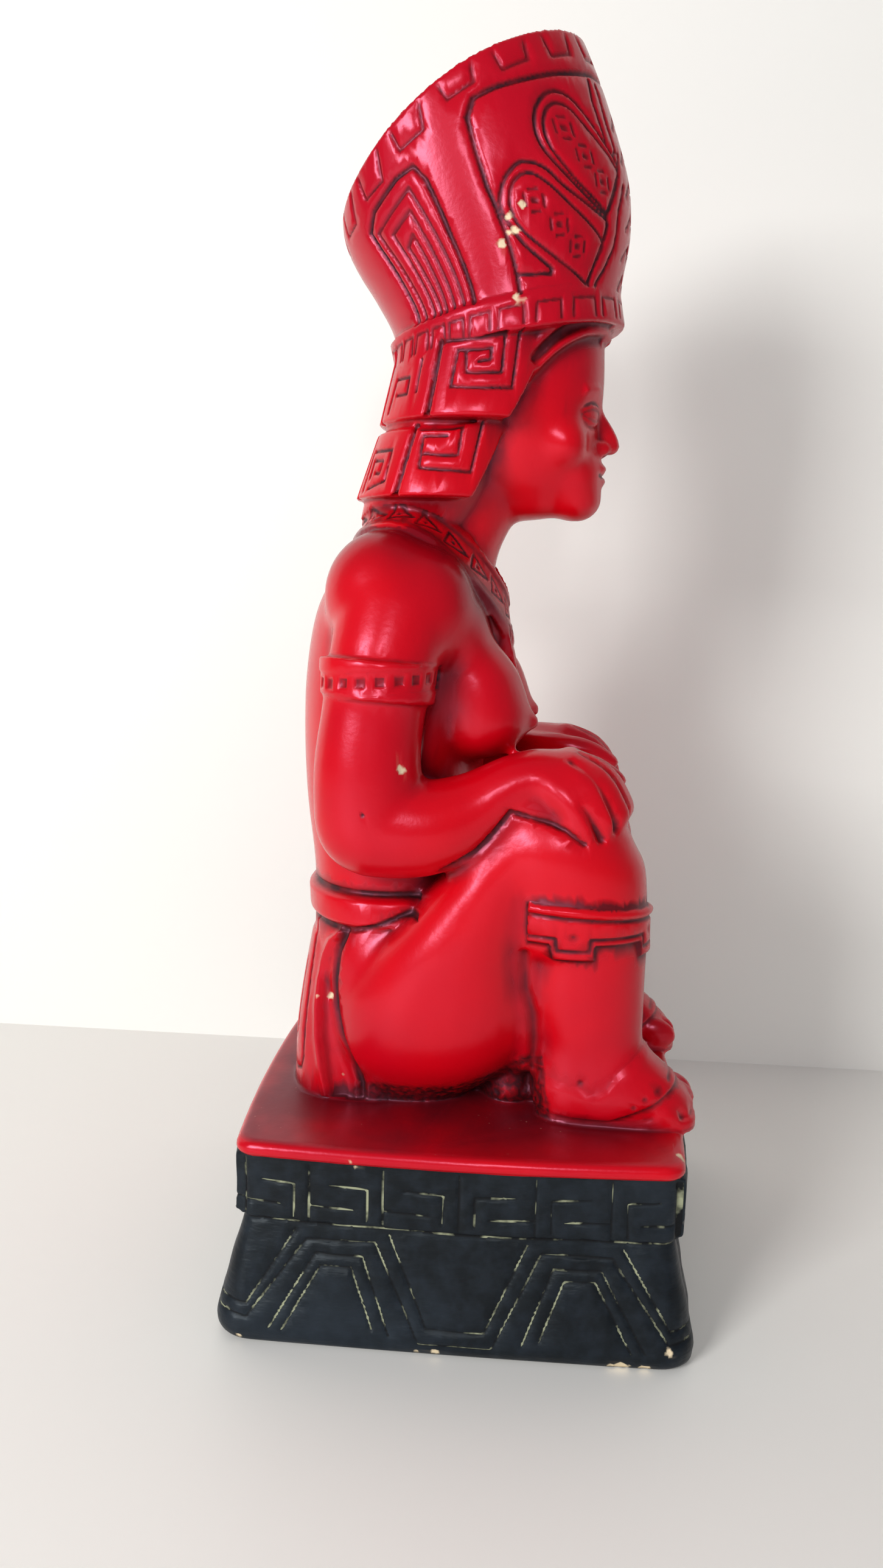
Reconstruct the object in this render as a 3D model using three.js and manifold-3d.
import * as THREE from "three";
import { mergeVertices } from "three/addons/utils/BufferGeometryUtils.js";
import Module from "manifold-3d";

// A seated woman in a tall headdress, cast in one piece with her square base.
// Sizes are in millimetres. She faces -Y, her right side is -X, and +Z is up.
// The origin is the middle of the base's underside.

// Base: the slab she sits on, the frieze under it and the flared foot.
const SLAB_TOP = 49;
const SLAB_HALF = 53;
const SLAB_EDGE = 3.4;
const FRIEZE_FOOT = 30;
const FRIEZE_PROUD = 2;
const FOOT_HALF = 57.5;
const SLAB_BOW = 2;
const FOOT_BOW = 0.5;

// Figure: distances of the limbs from the middle plane.
const LEG_X = 25;
const ARM_X = 34.5;
const WRIST_X = 30;

// Bands and plates that stand proud of the skin.
const BELT_PROUD = 1.4;
const ARMBAND_PROUD = 1.3;
const LEGBAND_PROUD = 1.2;
const COLLAR_DEPTH = 6;
const PENDANT_HALF = 8;

// Headdress: widest half-width of the band and of the rim, and the rise of the rim at its sides.
const BAND_HALF = 26;
const RIM_HALF = 27.5;
const RIM_ARCH = 4.8;
const RIM_DOME = 2.5;

const wasm = await Module();
wasm.setup();

// A closed three.js geometry as a solid. One that comes out inside out is turned.
function solid(geometry) {
  const plain = geometry.clone();
  plain.deleteAttribute("normal");
  plain.deleteAttribute("uv");
  const merged = mergeVertices(plain, 1e-4);
  const corners = Uint32Array.from(merged.index.array);
  const points = Float32Array.from(merged.attributes.position.array);
  const make = () => new wasm.Manifold(new wasm.Mesh({ numProp: 3, vertProperties: points, triVerts: corners }));
  const first = make();
  if (first.volume() > 0) return first;
  for (let i = 0; i < corners.length; i += 3) {
    [corners[i], corners[i + 1]] = [corners[i + 1], corners[i]];
  }
  return make();
}

// Moves every point of a geometry. Points that coincide stay together, so seams close.
function reshape(geometry, place) {
  const points = geometry.attributes.position;
  const exact = (value) => Math.round(value * 1e5) / 1e5 + 0;
  for (let i = 0; i < points.count; i++) {
    const p = place(exact(points.getX(i)), exact(points.getY(i)), exact(points.getZ(i)), i);
    points.setXYZ(i, p.x, p.y, p.z);
  }
  return geometry;
}

// The same part on both sides of the middle plane.
function pair(part) {
  return [-1, 1].map((side) => reshape(part.clone(), (x, y, z) => new THREE.Vector3(-side * x, y, z)));
}

// Smooth numbers between stations, t running from 0 at the first to 1 at the last.
function blend(rows, t) {
  const at = t * (rows.length - 1);
  const k = Math.min(Math.floor(at), rows.length - 2);
  const row = (i) => rows[Math.max(0, Math.min(rows.length - 1, i))];
  const u = at - k;
  return rows[0].map((_, c) => {
    const [a, b, d, e] = [row(k - 1)[c], row(k)[c], row(k + 1)[c], row(k + 2)[c]];
    const slope0 = (d - a) / 2;
    const slope1 = (e - b) / 2;
    const u2 = u * u;
    const u3 = u2 * u;
    return (2 * u3 - 3 * u2 + 1) * b + (u3 - 2 * u2 + u) * slope0 + (3 * u2 - 2 * u3) * d + (u3 - u2) * slope1;
  });
}

// A point of a unit outline: a circle for power 2, squarer for more.
function outline(angle, power) {
  const bend = (value) => Math.sign(value) * Math.abs(value) ** (2 / power);
  return [bend(Math.cos(angle)), bend(Math.sin(angle))];
}

// A rounded form through stations [x, y, z, half-width, half-depth].
// The width lies across the figure. start and end are the lengths of the rounded ends.
// Its rings stand square to its path, or lie level.
function limb(stations, { sides = 12, rows = 8, cap = 2, start = 0, end = 0, power = 2, level = false } = {}) {
  const capsule = new THREE.CapsuleGeometry(1, 1, cap, sides, rows);
  return reshape(capsule, (x, y, z) => {
    const beyond = Math.max(0, Math.abs(y) - 0.5);
    const t = Math.min(1, Math.max(0, y + 0.5));
    const [px, py, pz, wide, deep] = blend(stations, t);
    const step = 0.01;
    const low = new THREE.Vector3(...blend(stations, Math.max(0, t - step)));
    const high = new THREE.Vector3(...blend(stations, Math.min(1, t + step)));
    const along = level ? new THREE.Vector3(0, 0, 1) : high.sub(low).normalize();
    const across = new THREE.Vector3(1, 0, 0).addScaledVector(along, -along.x).normalize();
    const out = new THREE.Vector3().crossVectors(along, across);
    const spread = Math.hypot(x, z);
    const [c, s] = outline(Math.atan2(z, x), power);
    return new THREE.Vector3(px, py, pz)
      .addScaledVector(across, spread * c * wide)
      .addScaledVector(out, spread * s * deep)
      .addScaledVector(along, y < 0 ? -beyond * start : beyond * end);
  });
}

// An egg-shaped lump, tilted about the X axis.
function lump([x, y, z], [rx, ry, rz], tilt = 0, sides = 12, rows = 7) {
  const ball = new THREE.SphereGeometry(1, sides, rows).rotateX(Math.PI / 2).scale(rx, ry, rz);
  return reshape(ball.rotateX(tilt).translate(x, y, z), (a, b, c) => new THREE.Vector3(a, b, c));
}

// The square base, stacked from rounded squares [height, half-width, corner radius, bow of the sides].
function base() {
  const arc = 3;
  const edge = 4;
  const levels = [
    [0, FOOT_HALF - 2.2, 8, FOOT_BOW],
    [1.2, FOOT_HALF - 0.7, 8, FOOT_BOW],
    [4.5, FOOT_HALF, 8, FOOT_BOW],
    [10, FOOT_HALF - 1.3, 7, FOOT_BOW],
    [FRIEZE_FOOT - 1, SLAB_HALF - 1.4, 4, SLAB_BOW],
    [FRIEZE_FOOT + 1, SLAB_HALF - 1, 4, SLAB_BOW],
    [SLAB_TOP - SLAB_EDGE - 0.6, SLAB_HALF - 1.2, 4, SLAB_BOW],
    [SLAB_TOP - SLAB_EDGE, SLAB_HALF - 0.2, 5, SLAB_BOW],
    [SLAB_TOP - 1, SLAB_HALF, 5, SLAB_BOW],
    [SLAB_TOP, SLAB_HALF - 1.2, 5, SLAB_BOW],
  ];
  const around = 4 * (arc + edge);
  const drum = new THREE.CylinderGeometry(1, 1, 1, around, levels.length - 1);
  return reshape(drum, (x, y, z) => {
    const [height, half, radius, bow] = levels[Math.round((y + 0.5) * (levels.length - 1))];
    const reach = Math.round(Math.hypot(x, z));
    const step = (Math.round((Math.atan2(x, z) / (2 * Math.PI)) * around) + around) % around;
    const side = Math.floor(step / (arc + edge));
    const k = step % (arc + edge);
    const p = new THREE.Vector3(0, 0, height);
    if (k <= arc) {
      const a = ((k / arc) * Math.PI) / 2;
      p.set(half - radius + radius * Math.cos(a), half - radius + radius * Math.sin(a), height);
    } else {
      const u = (k - arc) / edge;
      p.set((half - radius) * (1 - 2 * u), half + bow * 4 * u * (1 - u), height);
    }
    p.applyAxisAngle(new THREE.Vector3(0, 0, 1), (side * Math.PI) / 2);
    return new THREE.Vector3(reach * p.x, reach * p.y, height);
  });
}

// The frieze plates that stand out of the front and the back of the base.
function friezePlates() {
  const low = FRIEZE_FOOT + 1;
  const high = SLAB_TOP - SLAB_EDGE - 0.5;
  const shape = new THREE.Shape();
  shape.moveTo(-SLAB_HALF + 2.5, 0);
  shape.lineTo(-SLAB_HALF + 2.5, SLAB_HALF - 1 + FRIEZE_PROUD * 0.6);
  shape.lineTo(-SLAB_HALF + 6, SLAB_HALF - 1 + FRIEZE_PROUD);
  shape.lineTo(0, SLAB_HALF - 1 + FRIEZE_PROUD + SLAB_BOW);
  shape.lineTo(SLAB_HALF - 6, SLAB_HALF - 1 + FRIEZE_PROUD);
  shape.lineTo(SLAB_HALF - 2.5, SLAB_HALF - 1 + FRIEZE_PROUD * 0.6);
  shape.lineTo(SLAB_HALF - 2.5, 0);
  const plate = new THREE.ExtrudeGeometry(shape, { depth: high - low, bevelEnabled: false });
  return [0, Math.PI].map((turn) => plate.clone().rotateZ(turn).translate(0, 0, low));
}

// Trunk: seat, waist, ribs, chest and shoulders, then the neck.
function trunk() {
  const body = limb(
    [
      [0, 17, SLAB_TOP - 1, 26, 23],
      [0, 18, 66, 31, 23],
      [0, 20.4, 82, 31.5, 22],
      [0, 21.5, 96, 28.5, 19.8],
      [0, 22, 108, 26.5, 19.4],
      [0, 21.8, 124, 27.5, 21.6],
      [0, 21, 142, 30.5, 23],
      [0, 20, 158, 33.5, 22.6],
      [0, 18.5, 173, 34, 20.8],
      [0, 19, 184, 30, 16],
      [0, 18.5, 191, 21, 13.5],
    ],
    { sides: 16, rows: 10, cap: 1, end: 2, power: 2.2, level: true },
  );
  const neck = limb(
    [
      [0, 12.5, 180, 16, 15],
      [0, 9.8, 187, 13.5, 13.4],
      [0, 6, 195, 12.5, 13.2],
      [0, 2, 205, 13, 14],
    ],
    { sides: 10, rows: 4, cap: 1, level: true },
  );
  return [body, neck];
}

// Breasts, drop-shaped, from under the collar.
function breasts() {
  return pair(
    limb(
      [
        [-15, 7, 167, 9, 6.5],
        [-15, 1.5, 156, 12.5, 11],
        [-14.5, -1, 146, 13, 12.6],
      ],
      { rows: 4, start: 4, end: 10 },
    ),
  );
}

// Arms: shoulder cap, upper arm, forearm and palm, then four fingers and a thumb.
function arms() {
  const upper = limb(
    [
      [-ARM_X + 4.5, 19, 172, 12.5, 14.5],
      [-ARM_X + 1, 21.5, 160, 11, 12.8],
      [-ARM_X, 23.5, 148, 10.5, 12.2],
      [-ARM_X - 0.5, 24.5, 136, 11, 12.8],
      [-ARM_X - 0.5, 24, 124, 11, 13.2],
    ],
    { rows: 5, cap: 3, start: 16, end: 14 },
  );
  const fore = limb(
    [
      [-ARM_X - 0.5, 24, 122, 11, 12.4],
      [-ARM_X + 0.5, 11, 121.8, 10.6, 11.6],
      [-ARM_X + 3, 0, 125.5, 9.2, 9.4],
      [-WRIST_X, -10, 131.6, 7.6, 7],
      [-WRIST_X + 2.5, -18, 133, 9, 7],
      [-WRIST_X + 5, -25.5, 130.5, 10.4, 6.8],
    ],
    { rows: 8, start: 8, end: 4 },
  );
  const palm = lump([-LEG_X + 0.5, -28, 124.5], [9.5, 7, 8], 0, 10, 6);
  const fingers = [0, 1, 2, 3].map((k) => {
    const u = k / 3;
    const x = -15.5 - 16 * u;
    const back = 8 * u * u;
    const drop = 10 * u;
    return limb(
      [
        [x, -25 + back * 0.6, 136.5 - drop * 0.8, 3.2, 3.2],
        [x - 0.4, -32 + back * 0.7, 133 - drop * 0.8, 3.4, 3.6],
        [x - 0.8, -36.3 + back * 0.9, 126.5 - drop * 0.55, 3.2, 3.3],
        [x - 1, -37.2 + back, 121.5 - drop * 0.25, 2.8, 2.8],
      ],
      { sides: 6, rows: 3, start: 2, end: 2.5 },
    );
  });
  const thumb = limb(
    [
      [-WRIST_X + 9, -14, 133, 3.4, 3.6],
      [-WRIST_X + 14.5, -21, 130, 3, 3],
      [-WRIST_X + 16, -27, 125.5, 2.6, 2.6],
    ],
    { sides: 6, rows: 3, start: 2, end: 2.5 },
  );
  const band = limb(
    [
      [-ARM_X + 0.3, 22.7, 152, 10.7 + ARMBAND_PROUD, 12.3 + ARMBAND_PROUD],
      [-ARM_X + 0.9, 22.1, 160.8, 11 + ARMBAND_PROUD, 12.8 + ARMBAND_PROUD],
    ],
    { rows: 1, cap: 1 },
  );
  return [upper, fore, palm, thumb, band, ...fingers].flatMap(pair);
}

// Legs: thigh with the seat, knee, shin, foot with its sole and toes, and the band under the knee.
function legs() {
  const thigh = limb(
    [
      [-19, 18, 71.5, 17, 19.5],
      [-20.5, 7, 76.8, 18.5, 24],
      [-LEG_X + 1.5, -7, 90.5, 16.5, 23.6],
      [-LEG_X, -18, 101.5, 14, 21.5],
    ],
    { rows: 6, start: 15, end: 13 },
  );
  const knee = lump([-LEG_X, -24.5, 106.5], [13.5, 18.6, 18.8]);
  const shin = limb(
    [
      [-LEG_X, -28, 106, 13, 16],
      [-LEG_X, -29, 92, 12.3, 15],
      [-LEG_X + 0.5, -29, 80, 11.5, 14.6],
      [-LEG_X + 0.5, -30.3, 68, 10.2, 13],
      [-LEG_X + 0.5, -30.3, 58, 9.8, 13],
      [-LEG_X, -30.3, SLAB_TOP - 1, 10.4, 14],
    ],
    { rows: 6, cap: 1 },
  );
  const foot = limb(
    [
      [-LEG_X + 0.5, -25, 54, 8.6, 7.5],
      [-LEG_X - 0.3, -37, 55, 8.2, 10],
      [-LEG_X - 1, -46, 54, 7.6, 8.4],
      [-LEG_X - 1.4, -53, 52, 6.8, 4.6],
    ],
    { sides: 10, rows: 4, start: 6, end: 3 },
  );
  const toes = [0, 1, 2, 3, 4].map((k) => {
    const girth = 1.9 - 0.17 * k;
    return lump([-LEG_X + 3.4 - 2.6 * k, 0.28 * k * k - 55, 52.3 - 0.2 * k], [girth, 3.4, girth], 0, 6, 4);
  });
  const soleLine = new THREE.Shape();
  soleLine.moveTo(-LEG_X + 7, -20);
  soleLine.quadraticCurveTo(-LEG_X + 0.5, -12, -LEG_X - 6.5, -20);
  soleLine.quadraticCurveTo(-LEG_X - 7.4, -38, -LEG_X - 8.4, -52);
  soleLine.quadraticCurveTo(-LEG_X - 8, -56, -LEG_X - 4, -57.8);
  soleLine.quadraticCurveTo(-LEG_X + 5, -60, -LEG_X + 5.8, -54);
  soleLine.quadraticCurveTo(-LEG_X + 5.6, -38, -LEG_X + 7, -20);
  const sole = new THREE.ExtrudeGeometry(soleLine, { depth: 3.2, bevelEnabled: false, curveSegments: 4 });
  sole.translate(0, 0, SLAB_TOP - 1);
  const band = limb(
    [
      [-LEG_X, -29, 92.5, 12.3 + LEGBAND_PROUD, 14.9 + LEGBAND_PROUD],
      [-LEG_X, -28.4, 104.5, 12.8 + LEGBAND_PROUD, 15.5 + LEGBAND_PROUD],
    ],
    { rows: 1, cap: 1 },
  );
  return [thigh, knee, shin, foot, sole, band, ...toes].flatMap(pair);
}

// Belt and the loincloth: a broad stiff panel down the back and a plain one in front.
function clothes() {
  const belt = limb(
    [
      [0, 20.2, 92.3, 28.5 + BELT_PROUD, 20.6 + BELT_PROUD],
      [0, 22.6, 100.3, 27 + BELT_PROUD, 19.8 + BELT_PROUD],
    ],
    { sides: 18, rows: 1, cap: 1, power: 2.2 },
  );
  const back = limb(
    [
      [0, 28, SLAB_TOP - 1, 27.5, 18.6],
      [0, 27.5, 62, 27, 18.8],
      [0, 26.6, 74, 25.5, 18.4],
      [0, 25.6, 89, 22.5, 17],
    ],
    { sides: 18, rows: 3, cap: 1, power: 3, level: true },
  );
  const front = limb(
    [
      [0, -10, SLAB_TOP - 1, 10, 4],
      [0, -12, 70, 9.5, 4],
      [0, -10, 88, 9, 5],
      [0, 0, 98, 8.5, 6],
    ],
    { sides: 10, rows: 4, cap: 1, end: 2, power: 3.4 },
  );
  return [belt, back, front];
}

// Collar: a flat band from the nape over the shoulders to a point on the chest, and its pendant.
function collar() {
  const outer = [
    [0, -8.4, 164],
    [-7.5, -7, 168],
    [-15.5, -2.5, 175],
    [-22, 4.5, 182.5],
    [-25.5, 13, 189],
    [-24.5, 22, 191],
    [-18, 30, 190],
    [0, 34.6, 187.4],
  ];
  const inner = [
    [0, -6.6, 176],
    [-5, -5.6, 179.5],
    [-9.5, -2, 185.5],
    [-12.5, 3, 191.5],
    [-14.5, 10, 197],
    [-14.5, 17, 200],
    [-11, 25, 199.5],
    [0, 29, 197.5],
  ];
  const around = 18;
  const ring = new THREE.TorusGeometry(2, 1, 4, around);
  const band = reshape(ring, (x, y, z, i) => {
    const turn = (i % (around + 1)) / around;
    const corner = Math.floor(i / (around + 1)) % 4;
    const t = 1 - Math.abs(1 - 2 * turn);
    const [px, py, pz] = blend(corner === 0 || corner === 3 ? outer : inner, t);
    const sink = corner > 1 ? COLLAR_DEPTH : 0;
    const side = turn > 0.5 ? -1 : 1;
    return new THREE.Vector3(side * px * (1 - 0.2 * (sink > 0)), py + sink * 0.6 * (0.7 - t), pz - sink * 0.8);
  });
  const plate = new THREE.Shape();
  plate.moveTo(-PENDANT_HALF, 0);
  plate.lineTo(-PENDANT_HALF * 0.86, -9);
  plate.lineTo(0, -20);
  plate.lineTo(PENDANT_HALF * 0.86, -9);
  plate.lineTo(PENDANT_HALF, 0);
  const sheet = new THREE.ExtrudeGeometry(plate, { depth: 8, bevelEnabled: false });
  const pendant = reshape(sheet, (x, y, z) => new THREE.Vector3(x, -6 + 0.25 * y + z, 171 + y));
  return [band, pendant];
}

// Head: skull and jaw, with a plain face of ordinary proportions.
function head() {
  const skull = limb(
    [
      [0, -9, 199, 9, 12],
      [0, -7, 205, 14, 18],
      [0, -5, 213, 17, 22],
      [0, -3.8, 222, 18.6, 24.4],
      [0, -3.2, 231, 18.8, 25.2],
      [0, -3, 241, 18.5, 24.8],
    ],
    { sides: 16, rows: 6, start: 4, power: 2.15, level: true },
  );
  const chin = lump([0, -17.8, 199.6], [6.4, 4.8, 4.4], 0.2);
  const nose = limb(
    [
      [0, -26.4, 224, 1.8, 2],
      [0, -28, 217.5, 2.1, 2.6],
      [0, -29.4, 212.2, 3.6, 3.2],
    ],
    { sides: 8, rows: 3, start: 1.5, end: 1.6 },
  );
  const lips = [
    lump([0, -23.4, 206.6], [5.4, 3, 1.2], 0, 10, 6),
    lump([0, -22.4, 204.3], [4.8, 3.2, 1.3], 0, 10, 6),
  ];
  return [skull, chin, nose, ...lips];
}

// Hair: a cap of hair under two tiers of wedge blocks, each tier flared at its lower edge.
function hair() {
  const mass = limb(
    [
      [0, 17, 193, 18, 15],
      [0, 13, 204, 20.5, 16.5],
      [0, 9, 216, 21.5, 16.5],
      [0, 6, 228, 22.5, 18],
      [0, 3, 238, 23, 20],
    ],
    { sides: 16, rows: 5, cap: 1, power: 2.2, level: true },
  );
  const tiers = [
    { top: 233.5, low: 217, middle: [1, 3], upper: [24.5, 22.5], lower: [27, 24.4], lead: [-44, -22] },
    { top: 214.8, low: 199, middle: [8, 11.5], upper: [23.4, 19.6], lower: [26.2, 21.5], lead: [-44, -26] },
  ];
  const spans = [
    [null, 24],
    [27, 70],
    [74, 106],
    [110, 153],
    [156, null],
  ];
  const inward = 0.72;
  const mix = (a, b, t) => a + (b - a) * t;
  const blocks = tiers.flatMap(({ top, low, middle, upper, lower, lead }) =>
    spans.map(([from, to]) => {
      const box = new THREE.BoxGeometry(2, 2, 2, from === null || to === null ? 4 : 2, 1, 1);
      return reshape(box, (x, y, z) => {
        const level = (y + 1) / 2;
        const open = mix(lead[1], lead[0], level);
        const degrees = mix(from ?? open, to ?? 180 - open, (x + 1) / 2);
        const angle = (degrees / 180) * Math.PI;
        const depth = z > 0 ? 1 : inward;
        const wide = mix(lower[0], upper[0], level) * depth;
        const deep = mix(lower[1], upper[1], level) * depth;
        const slope = 4 * level * Math.max(0, -Math.sin(angle));
        const centre = mix(middle[1], middle[0], level);
        return new THREE.Vector3(-wide * Math.cos(angle), centre + deep * Math.sin(angle), mix(low, top, level) + slope);
      });
    }),
  );
  return [mass, ...blocks];
}

// Headdress: a band around the head, and a wide flared cap whose rim slants down to the back.
function headdress() {
  const band = limb(
    [
      [0, -4.8, 235.4, BAND_HALF, 28.6],
      [0, -3.2, 242.8, BAND_HALF, 28.8],
    ],
    { sides: 20, rows: 1, cap: 1 },
  );
  const front = [
    [-31, 241],
    [-31.6, 252],
    [-33, 262],
    [-32.3, 273],
    [-29, 284],
    [-24.6, 295.4],
    [-20.2, 304.8],
  ];
  const back = [
    [22.6, 231],
    [24, 239],
    [28.5, 247],
    [32.6, 253],
    [35.4, 258],
    [36.6, 261.6],
    [37, 265],
  ];
  const sides = 20;
  const rows = 7;
  const shell = new THREE.CapsuleGeometry(1, 1, 2, sides, rows);
  const cap = reshape(shell, (x, y, z) => {
    const beyond = Math.max(0, Math.abs(y) - 0.5);
    const t = Math.min(1, Math.max(0, y + 0.5));
    const f = new THREE.Vector3(0, ...blend(front, t));
    const b = new THREE.Vector3(0, ...blend(back, t));
    const middle = f.clone().add(b).multiplyScalar(0.5);
    const reach = b.clone().sub(f).multiplyScalar(0.5);
    const up = new THREE.Vector3(0, -reach.z, reach.y).normalize();
    const wide = BAND_HALF - 1.6 + (RIM_HALF - BAND_HALF + 1.6) * Math.sin((t * Math.PI) / 1.6);
    const spread = Math.hypot(x, z);
    const angle = Math.atan2(x, z);
    const arch = RIM_ARCH * t * t * (spread * Math.sin(angle)) ** 2;
    return middle
      .addScaledVector(reach, spread * Math.cos(angle))
      .addScaledVector(new THREE.Vector3(1, 0, 0), spread * Math.sin(angle) * wide)
      .addScaledVector(up, arch + (y > 0 ? beyond * RIM_DOME : -beyond));
  });
  return [band, cap];
}

const parts = [
  base(),
  ...friezePlates(),
  ...trunk(),
  ...breasts(),
  ...arms(),
  ...legs(),
  ...clothes(),
  ...collar(),
  ...head(),
  ...hair(),
  ...headdress(),
].map(solid);
const whole = parts.reduce((sum, part) => sum.add(part));
const { vertProperties, triVerts } = whole.getMesh();

const geometry = new THREE.BufferGeometry();
geometry.setAttribute("position", new THREE.BufferAttribute(vertProperties, 3));
geometry.setIndex(new THREE.BufferAttribute(triVerts, 1));
geometry.computeVertexNormals();

const lacquer = new THREE.MeshStandardMaterial({ color: 0xb30a14, roughness: 0.25, metalness: 0 });
const statue = new THREE.Mesh(geometry, lacquer);
statue.name = "statue";

const figure = new THREE.Group();
figure.add(statue);

export default figure;
